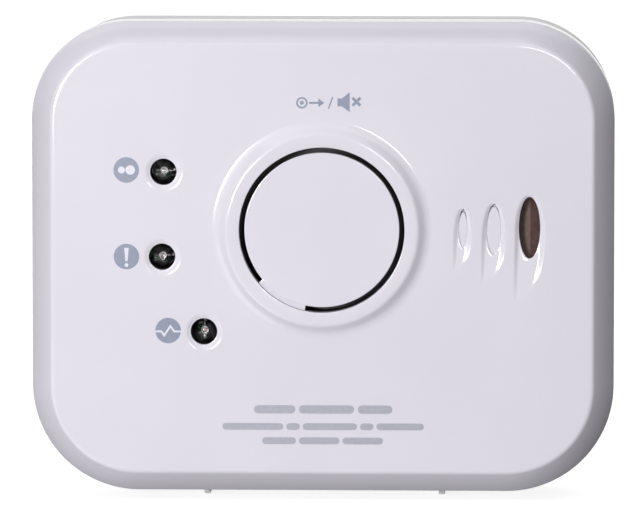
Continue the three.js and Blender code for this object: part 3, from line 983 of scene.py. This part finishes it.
def makeSensor():
    low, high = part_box("sensor_cell")
    radius = (high.x - low.x) / 2 / mm
    bottom, top = low.z / mm, high.z / mm
    foot, lid, groove = can["footRound"], can["lidRound"], radius - can["grooveDepth"]
    profile = [(0, bottom + can["footRise"]), (radius - can["footWidth"], bottom + can["footRise"])]
    profile += arc(radius - foot, bottom + foot, foot, 250, 360, 6)
    profile += [(x, top - drop) for x, drop in zip((radius, groove, groove, radius), can["grooveDrops"])]
    profile += arc(radius - lid, top - lid, lid, 0, 100, 5)
    profile += [(radius - can["lidWidth"], top - can["lidDrop"]), (0, top - can["lidDrop"])]
    piece = turned("sensorCan", profile, 96)
    place = middle("sensor_cell")
    piece.location = (place.x, place.y, 0)
    smooth(settle(piece), 40)
    return finished(piece, "case", "bronze_can", canFilmPaintedShade(), "sensor_cell")


makeSensor()
print("sensor can is made")


# Printing

ink = {
    "lift": 0.02,  # over the face
    "thick": 0.02,
    "discRadius": 2.63,
    "discs": ((-40.2, 18.2), (-40.2, 0.35), (-31.65, -14.9)),
    "rows": (  # height, start, end and bar height of each row
        (-31.1, -14.0, 14.5, 1.7),
        (-34.65, -20.5, 21.0, 1.4),
        (-37.6, -12.3, 12.6, 1.4),
    ),
    "words": ((6, 8, 5), (9, 2, 8, 2, 7), (5, 6, 6)),
    "wordGap": 0.42,  # share of a bar's height
    "markLevel": 0.7,  # how far up the disc's ink the marks start
    "spread": 0.04,
    "roughness": 0.35,
}

symbols = {
    "balls": ((-0.98, 0.72), (0.82, 0.98)),  # the gas: how far across, and the radius
    "stroke": ((-0.22, -0.95), (0.22, -0.95), (0.47, 1.8), (-0.47, 1.8)),  # exclamation: fault
    "dot": (-1.75, 0.4),
    "pulse": ((-2.6, -0.18), (-1.4, -0.18), (-0.8, -1.0), (0.46, 0.92), (1.25, -0.18), (2.6, -0.18)),
    "line": 0.4,
    "target": (-4.1, 32.1),
    "targetRing": (1.0, 0.36),  # radius and width
    "targetDot": 0.42,
    "arrow": (-2.5, -0.75),
    "arrowHead": ((-0.72, 31.2), (0.5, 32.1), (-0.72, 33.0)),
    "slash": ((1.2, 30.9), (1.5, 30.9), (2.35, 33.3), (2.05, 33.3)),
    "sounder": ((3.2, 31.4), (4.1, 31.4), (5.7, 30.2), (5.7, 34.3), (4.1, 33.0), (3.2, 33.0)),
    "cross": (7.08, 32.35),
    "crossArm": 1.13,
    "crossHalf": 0.3,
}


def inkMaterial(name, colour):
    material, tree, shader = newMaterial(name)
    cloud = noise(tree, 1800, 3)
    cloudyColour(tree, shader, cloud, colour, ink["spread"])
    shader.inputs["Roughness"].default_value = ink["roughness"]
    bump(tree, shader, cloud.outputs["Fac"], 0.1, 0.00001)
    return material


inkGrey = inkMaterial("inkGrey", (0.25, 0.28, 0.385))
inkPale = inkMaterial("inkPale", (0.74, 0.74, 0.82))
inkLight = inkMaterial("inkLight", (0.44, 0.44, 0.51))


def flatShape(name, outline, level):  # a thin printed shape from its outline
    deselect()
    height = case["faceHeight"] + ink["lift"] + level * ink["thick"]
    mesh = bpy.data.meshes.new(name)
    corners = [(x * mm, (y + case["middle"]) * mm, height * mm) for x, y in outline]
    mesh.from_pydata(corners, [], [tuple(range(len(corners)))])
    piece = bpy.data.objects.new(name, mesh)
    scene.collection.objects.link(piece)
    openEdit(piece, "FACE")
    bpy.ops.mesh.select_all(action="SELECT")
    extrudeUp(ink["thick"])
    bpy.ops.mesh.select_all(action="SELECT")
    bpy.ops.mesh.normals_make_consistent(inside=False)
    closeEdit()
    return piece


def pill(x0, y0, x1, y1, width, steps=8):  # outline of a thick round-ended stroke
    heading = math.atan2(y1 - y0, x1 - x0)
    outline = []
    for x, y, start in ((x1, y1, heading - math.pi / 2), (x0, y0, heading + math.pi / 2)):
        for step in range(steps + 1):
            angle = start + math.pi * step / steps
            outline.append((x + width / 2 * math.cos(angle), y + width / 2 * math.sin(angle)))
    return outline


def circle(x, y, radius, steps=48):
    return [(x + radius * math.cos(2 * math.pi * i / steps), y + radius * math.sin(2 * math.pi * i / steps))
            for i in range(steps)]


def band(points, width, x=0.0, y=0.0):  # outline of an even stroke along a bent line
    sides = ([], [])
    for i, (px, py) in enumerate(points):
        before, after = points[max(i - 1, 0)], points[min(i + 1, len(points) - 1)]
        first = Vector((px - before[0], py - before[1]))
        second = Vector((after[0] - px, after[1] - py))
        first = (first if first.length else second).normalized()
        second = (second if second.length else first).normalized()
        across = (first + second).normalized()
        across = Vector((-across.y, across.x))
        reach = width / 2 / max(0.4, across.dot(Vector((-first.y, first.x))))
        for side, turn in zip(sides, (1, -1)):
            side.append((x + px + across.x * reach * turn, y + py + across.y * reach * turn))
    return sides[1] + sides[0][::-1]


def ringMark(x, y, radius, width):  # a ring, as two half bands
    halves = []
    for start in (0, 180):
        points = [(radius * math.cos(math.radians(start + 180 * i / 20)),
                   radius * math.sin(math.radians(start + 180 * i / 20))) for i in range(21)]
        halves.append(band(points, width, x, y))
    return halves


def wordBars(height, start, end, tall, words):  # plain bars that stand for a line of print
    space = tall * ink["wordGap"]
    room = end - start - space * (len(words) - 1)
    outlines = []
    x = start
    for word in words:
        long = room * word / sum(words)
        half = tall / 2
        outlines.append(pill(x + half, height, x + long - half, height, tall))
        x += long + space
    return outlines


def printed(name, outlines, level, material):
    piece = joined(name, [flatShape(name + "Bit", outline, level) for outline in outlines])
    standUp(piece)
    return finished(piece, "case", "print_grey", material)


def crossShape(x, y):  # a cross turned by an eighth
    arm, half, turn = symbols["crossArm"], symbols["crossHalf"], math.sqrt(0.5)
    corners = (
        (half, half), (half, arm), (-half, arm), (-half, half), (-arm, half), (-arm, -half),
        (-half, -half), (-half, -arm), (half, -arm), (half, -half), (arm, -half), (arm, half),
    )
    return [(x + (u - v) * turn, y + (u + v) * turn) for u, v in corners]


def discMarks():
    gas, fault, working = ink["discs"]
    height, radius = symbols["dot"]
    marks = [circle(gas[0] + across, gas[1], ball) for across, ball in symbols["balls"]]
    marks.append([(fault[0] + x, fault[1] + y) for x, y in symbols["stroke"]])
    marks.append(circle(fault[0], fault[1] + height, radius, 24))
    marks.append(band(symbols["pulse"], symbols["line"], *working))
    return marks


def topSymbols():  # press for a test, or to silence
    x, y = symbols["target"]
    start, end = symbols["arrow"]
    shapes = ringMark(x, y, *symbols["targetRing"]) + [circle(x, y, symbols["targetDot"], 24)]
    shapes += [pill(start, y, end, y, symbols["line"]), symbols["arrowHead"]]
    return shapes + [symbols["slash"], symbols["sounder"], crossShape(*symbols["cross"])]


def makePrinting():
    printed("iconDiscs", [circle(x, y, ink["discRadius"]) for x, y in ink["discs"]], 0, inkGrey)
    printed("iconMarks", discMarks(), ink["markLevel"], inkPale)
    printed("topLabel", topSymbols(), 0, inkGrey)
    rows = []
    for (height, start, end, tall), words in zip(ink["rows"], ink["words"]):
        rows += wordBars(height, start, end, tall, words)
    printed("printedRows", rows, 0, inkLight)


makePrinting()
print("printing is made")


# Rear housing

rear = {
    "inset": 0.3,  # from the rim's outline
    "backRound": 1.4,
    "wall": 2.2,
    "tubeRadius": 4.2,
    "boreRadius": 3.2,
    "shankRadius": 1.8,
    "seatHeight": -0.3,
    "keyholeX": 30.0,
    "keyholeY": 74.0,
    "keyholeHead": 4.8,
    "keyholeSlot": 2.5,
    "keyholeRise": 8.0,
    "sliderY": 80.0,
    "labelX": 22.5,
    "labelY": 9.5,
    "runnerX": 24.4,
    "runnerWidth": 1.3,
    "edgeBevel": 0.25,
    "lip": 0.25,  # flat strip at each side of the front edge
    "backBand": 0.5,  # the same round the back face
    "roundSteps": 6,
    "tubeSink": 0.5,
    "tubeTop": 2.0,  # past the screw's seat
    "boreFlare": 0.35,
    "runnerRise": 3.2,
    "runnerEnds": 0.5,
    "slotHalf": (5.2, 2.5),
    "pocketDepth": 0.7,
    "gripX": 9.0,  # fine lines beside the slider
    "gripHalf": (1.6, 0.15),
    "gripDepth": 0.2,
    "gripRows": (-2, -1, 0, 1, 2),
}


def rod(name, radius, low, high, x, y, steps=48):
    return slideTo(turned(name, [(0, low), (radius, low), (radius, high), (0, high)], steps), x, y)


def softRod(name, radius, low, high, x, y, flare, steps=64):  # a cutter that leaves a rounded mouth
    profile = [(0, low - 1), (radius + flare, low - 1), (radius + flare, low)]
    for degrees in (30, 60, 90):
        angle = math.radians(degrees)
        profile.append((radius + flare * (1 - math.sin(angle)), low + flare * (1 - math.cos(angle))))
    profile += [(radius, high), (0, high)]
    return slideTo(turned(name, profile, steps), x, y)


def rearTray():
    back = case["backHeight"]
    rounding = rear["backRound"]
    piece = caseOutline("rearTray", rear["inset"], back + rounding)
    openEdit(piece, "FACE")
    bpy.ops.mesh.select_all(action="SELECT")
    front = case["skirtHeight"] - case["gap"]
    extrudeUp(front - back - rounding)
    insetSteps([(rear["lip"], 0), (rear["wall"] - 2 * rear["lip"], 0), (rear["lip"], 0)])
    extrudeUp(back + case["wall"] - front)
    limit = (back + rounding + 0.01) * mm
    pick(piece, "faces", lambda face: len(face.verts) > 4 and face.calc_center_median().z < limit)
    steps = []
    count = rear["roundSteps"]
    for step in range(count):
        a, b = (math.radians(90 * (step + i) / count) for i in (0, 1))
        steps.append((rounding * (math.cos(a) - math.cos(b)), rounding * (math.sin(b) - math.sin(a))))
    insetSteps(steps + [(rear["backBand"], 0)])
    bpy.ops.mesh.select_all(action="SELECT")
    bpy.ops.mesh.normals_make_consistent(inside=False)
    closeEdit()
    return piece


def keyholeCutter(side):
    x, y = side * rear["keyholeX"], rear["keyholeY"]
    low, high = case["backHeight"], case["backHeight"] + case["wall"] + 1
    flare = rear["edgeBevel"]
    head = softRod("keyhole", rear["keyholeHead"], low, high, x, y, flare, 96)
    end = softRod("slotEnd", rear["keyholeSlot"], low, high, x, y + rear["keyholeRise"], flare)
    half = rear["keyholeSlot"]
    neck = block("neck", x - half, x + half, y, y + rear["keyholeRise"], low - 1, high)
    return carved(carved(head, end, "UNION"), neck, "UNION")


def makeRear():
    piece = rearTray()
    back, seat = case["backHeight"], rear["seatHeight"]
    inner = back + case["wall"]
    screws = [middle(name) / mm for name in sorted(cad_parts) if name.startswith("housing_screw_")]
    for place in screws:
        top = seat + rear["tubeTop"]
        tube = rod("tube", rear["tubeRadius"], inner - rear["tubeSink"], top, place.x, place.z)
        piece = carved(piece, tube, "UNION")
    for side in (-1, 1):
        x, half = side * rear["runnerX"], rear["runnerWidth"] / 2
        runner = block("runner", x - half, x + half, 0, rear["runnerRise"],
                       back + rear["runnerEnds"], case["skirtHeight"] - rear["runnerEnds"], 0.25)
        piece = carved(piece, runner, "UNION")
    for place in screws:
        bore = softRod("bore", rear["boreRadius"], back, seat, place.x, place.z, rear["boreFlare"])
        shank = rod("shank", rear["shankRadius"], seat - 1, seat + 3, place.x, place.z, 32)
        piece = carved(carved(piece, bore), shank)
    for side in (-1, 1):
        piece = carved(piece, keyholeCutter(side))
    y = rear["sliderY"]
    wide, tall = rear["slotHalf"]
    piece = carved(piece, block("sliderSlot", -wide, wide, y - tall, y + tall, back - 1, inner + 1, 0.3))
    x, z = rear["labelX"], rear["labelY"]
    label = middle("rating_label") / mm
    pocket = block("pocket", -x, x, label.z - z, label.z + z, back - 1, back + rear["pocketDepth"], 0.2)
    piece = carved(piece, pocket)
    wide, tall = rear["gripHalf"]
    for row in rear["gripRows"]:
        for x in (-rear["gripX"], rear["gripX"]):
            line = block("grip", x - wide, x + wide, y + row - tall, y + row + tall,
                         back - 1, back + rear["gripDepth"])
            piece = carved(piece, line)
    openEdit(piece)
    weld()
    closeEdit()
    smooth(standUp(piece), 30)
    applied(piece, "WEIGHTED_NORMAL", keep_sharp=True)
    return finished(piece, "case", "matt_white", mattWhite, "rear_housing")


makeRear()
print("rear housing is made")


# Activation slider

slider = {
    "plateGap": 0.2,
    "plateRound": 0.2,
    "knobHalf": (2.8, 2.1),
    "knobSink": 1.2,  # past the wall's inner face
    "knobRound": 0.25,
    "grooves": (-1.6, -0.8, 0, 0.8, 1.6),
    "grooveHalf": (0.18, 3),
    "grooveDepth": 0.35,
}


def makeSlider():
    low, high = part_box("activation_slider")
    x0, x1, y0, y1 = low.x / mm, high.x / mm, low.z / mm, high.z / mm
    knobBack, plateFront = -high.y / mm, -low.y / mm
    centre, y = (x0 + x1) / 2, rear["sliderY"]
    inner = case["backHeight"] + case["wall"]
    plate = block("sliderPlate", x0, x1, y0, y1, inner + slider["plateGap"], plateFront,
                  slider["plateRound"])
    wide, tall = slider["knobHalf"]
    knob = block("knob", centre - wide, centre + wide, y - tall, y + tall,
                 knobBack, inner + slider["knobSink"], slider["knobRound"])
    piece = carved(plate, knob, "UNION")
    wide, tall = slider["grooveHalf"]
    for offset in slider["grooves"]:
        x = centre + offset
        groove = block("groove", x - wide, x + wide, y - tall, y + tall,
                       knobBack - 1, knobBack + slider["grooveDepth"])
        piece = carved(piece, groove)
    smooth(standUp(piece), 30)
    return finished(piece, "activation_slider", "black_plastic", satinBlack, "activation_slider")


makeSlider()
print("slider is made")


# Pieces kept as they are in the frame

softEdge = {"width": 0.12, "angle": 50}


def keep(material, *names):
    for name in names:
        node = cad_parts[name]
        node.data.materials.clear()
        node.data.materials.append(material)
        softer = node.modifiers.new("softEdges", "BEVEL")
        softer.width = softEdge["width"] * mm
        softer.segments = 2
        softer.limit_method = "ANGLE"
        softer.angle_limit = math.radians(softEdge["angle"])
        smooth(node, 35)


nickelStrip = polishedMetal("nickelStrip", (0.62, 0.60, 0.56), 0.3)
screwZinc = polishedMetal("screwZinc", (0.52, 0.53, 0.55), 0.32)
softBrass = polishedMetal("softBrass", (0.72, 0.56, 0.26), 0.3)
boardGreen = mouldedPlastic("boardGreen", (0.03, 0.16, 0.09), 0.2, 0.35, 500, 0.00002, 0.2)
paleCeramic = mouldedPlastic("paleCeramic", (0.75, 0.72, 0.66), 0.06, 0.6, 2500, 0.00003, 0.3)
sealRubber = mouldedPlastic("sealRubber", (0.03, 0.03, 0.032), 0.2, 0.85, 1500, 0.00008, 0.5)
cellSleeve = mouldedPlastic("cellSleeve", (0.09, 0.17, 0.32), 0.1, 0.3, 700, 0.00002, 0.15)
labelFilm = mouldedPlastic("labelFilm", (0.70, 0.71, 0.73), 0.04, 0.4, 1800, 0.00002, 0.2)

keep(satinBlack, "sounder_horn", "piezo_retainer", "test_switch_body", "microcontroller", "boost_inductor",
     "sensor_cap", "led_holder_alarm", "led_holder_fault", "led_holder_power", "activation_switch")
keep(nickelStrip, "sensor_lead_upper", "sensor_lead_lower", "battery_link", "battery_tab_positive",
     "battery_tab_negative")
keep(screwZinc, *[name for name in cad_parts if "_screw_" in name])
keep(softBrass, "piezo_plate", "piezo_contact_inner", "piezo_contact_outer", "test_switch_plunger")
keep(boardGreen, "circuit_board")
keep(paleCeramic, "piezo_ceramic")
keep(sealRubber, "sounder_seal")
keep(cellSleeve, "storage_capacitor", "battery_cell_lower", "battery_cell_upper")
keep(labelFilm, "rating_label")
print("inner pieces have their finishes")
